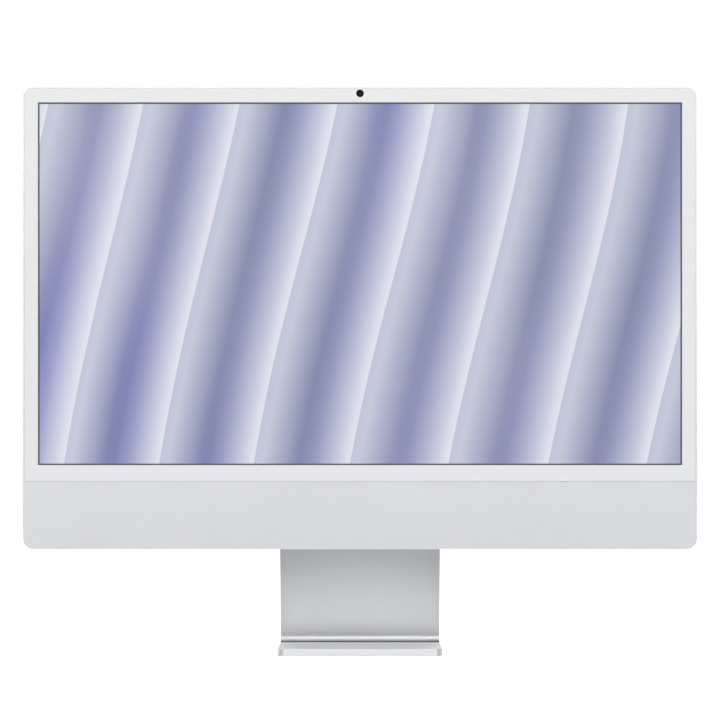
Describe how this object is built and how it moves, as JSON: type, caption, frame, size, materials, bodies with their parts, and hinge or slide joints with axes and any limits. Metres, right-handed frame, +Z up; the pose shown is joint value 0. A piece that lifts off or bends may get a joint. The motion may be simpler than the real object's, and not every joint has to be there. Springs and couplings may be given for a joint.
{
  "type": "all-in-one desktop computer",
  "caption": "Thin all-in-one desktop computer: a glass-fronted display housing that tilts on a bent-plate stand, with the board, fans and speakers in its chin.",
  "frame": {"origin": "on the desk, under the middle of the object's bounding box", "axes": "+X to the right as the user faces the screen, +Y behind the screen, +Z up"},
  "size_m": [0.547, 0.147, 0.46],
  "materials": {
    "silver_shell": "fine bead-blasted, satin",
    "chin_finish": "satin silver",
    "front_glass": "clear glass, white printed border",
    "foot_silicone": "matte grey silicone",
    "bush_bronze": "machined",
    "steel": "machined",
    "screw_steel": "zinc plated",
    "foam": "closed-cell foam tape",
    "frame_metal": "stamped",
    "picture": "lit panel showing soft lavender folds",
    "black_plastic": "moulded",
    "lens": "coated lens",
    "board": "black solder mask",
    "chip": "moulded chip package",
    "connector": "ivory plastic",
    "copper": "plain copper",
    "gold": "plated contacts",
    "flex": "polyimide film",
    "fan_black": "moulded",
    "grille": "drilled, satin",
    "socket_white": "moulded",
    "magnet": "nickel plated",
    "jack_grey": "moulded"
  },
  "bodies": {
    "stand": {"stand_arm": "silver_shell", "foot_pad": "foot_silicone", "hinge_bushes": "bush_bronze"},
    "display": {"rear_housing": "silver_shell", "cover_glass": "front_glass", "chin_panel": "chin_finish", "display_adhesive": "foam", "mid_rail": "frame_metal", "lcd_cell": "picture", "backlight_tray": "frame_metal", "camera_module": "black_plastic", "camera_lens": "lens", "light_sensor": "black_plastic", "microphones": "steel", "wifi_antennas": "copper", "logic_board": "board", "processor": "steel", "storage_chips": "chip", "power_inductors": "chip", "board_connectors": "connector", "shield_can": "steel", "heat_spreader": "copper", "heat_pipe": "copper", "fin_stacks": "copper", "clock_battery": "steel", "board_screws": "screw_steel", "fan_left_case": "fan_black", "fan_left_cover": "fan_black", "fan_right_case": "fan_black", "fan_right_cover": "fan_black", "fan_screws": "screw_steel", "speaker_left_box": "black_plastic", "speaker_right_box": "black_plastic", "woofers": "black_plastic", "tweeters": "steel", "speaker_grilles": "grille", "vent_grilles": "grille", "power_socket": "socket_white", "socket_magnet": "magnet", "socket_contacts": "gold", "inlet_harness": "black_plastic", "io_board": "board", "usb_shells": "steel", "usb_tongues": "black_plastic", "headphone_jack": "jack_grey", "power_switch": "steel", "display_flex": "flex", "camera_flex": "flex", "hinge_yoke": "silver_shell", "hinge_plate": "frame_metal", "hinge_screws": "screw_steel", "hinge_shaft": "steel", "friction_washers": "bush_bronze", "disc_springs": "steel", "hinge_nuts": "steel", "hinge_end_caps": "silver_shell"},
    "power_button": {"power_button": "silver_shell"},
    "fan_left_rotor": {"fan_left_impeller": "fan_black"},
    "fan_right_rotor": {"fan_right_impeller": "fan_black"}
  },
  "joints": [
    {"name": "display_tilt", "type": "hinge", "parent": "stand", "child": "display", "pos_m": [0, -0.0065, 0.2121], "axis": [-1, 0, 0], "range_deg": [-5, 20]},
    {"name": "power_button_press", "type": "slide", "parent": "display", "child": "power_button", "axis": [0, -1, 0], "range_m": [0, 0.0006], "stiffness_N_per_m": 2000, "springref_m": -0.0003},
    {"name": "fan_left_spin", "type": "hinge", "parent": "display", "child": "fan_left_rotor", "pos_m": [-0.155, -0.022, 0.1142], "axis": [0, 1, 0], "continuous": true},
    {"name": "fan_right_spin", "type": "hinge", "parent": "display", "child": "fan_right_rotor", "pos_m": [0.072, -0.022, 0.1142], "axis": [0, 1, 0], "continuous": true}
  ]
}
